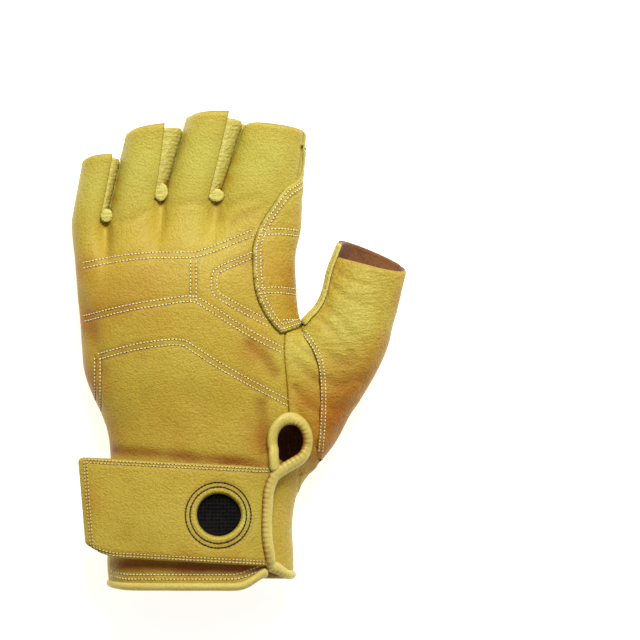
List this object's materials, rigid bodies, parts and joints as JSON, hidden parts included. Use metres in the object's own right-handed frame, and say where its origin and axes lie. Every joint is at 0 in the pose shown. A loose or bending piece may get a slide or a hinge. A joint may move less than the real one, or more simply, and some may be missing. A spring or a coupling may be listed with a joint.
{
  "type": "climbing glove",
  "caption": "Half-finger leather glove for the left hand, with stitched palm overlay, strap, clip hole and bound vent.",
  "frame": {"origin": "centre of the glove's bounding box in plan, on the surface that the palm rests on", "axes": "+Y up the hand from the wrist to the fingertips, +Z out of the back of the hand, +X towards the thumb"},
  "size_m": [0.1488, 0.2112, 0.041],
  "materials": {
    "leather_back": "soft grained",
    "leather_palm": "soft grained",
    "leather_overlay": "soft grained",
    "leather_fingers": "soft grained",
    "leather_thumb": "soft grained",
    "leather_binding": "smooth",
    "leather_strap": "soft grained",
    "black_loop": "woven"
  },
  "bodies": {
    "root": {"back_panel": "leather_back", "palm_panel": "leather_palm", "palm_overlay": "leather_overlay", "fourchette_little_ring": "leather_fingers", "fourchette_ring_middle": "leather_fingers", "fourchette_middle_index": "leather_fingers", "thumb_back_panel": "leather_thumb", "thumb_palm_panel": "leather_thumb", "thumb_patch": "leather_overlay", "wrist_binding": "leather_binding", "wrist_strap": "leather_strap", "loop_patch": "black_loop"}
  },
  "joints": []
}
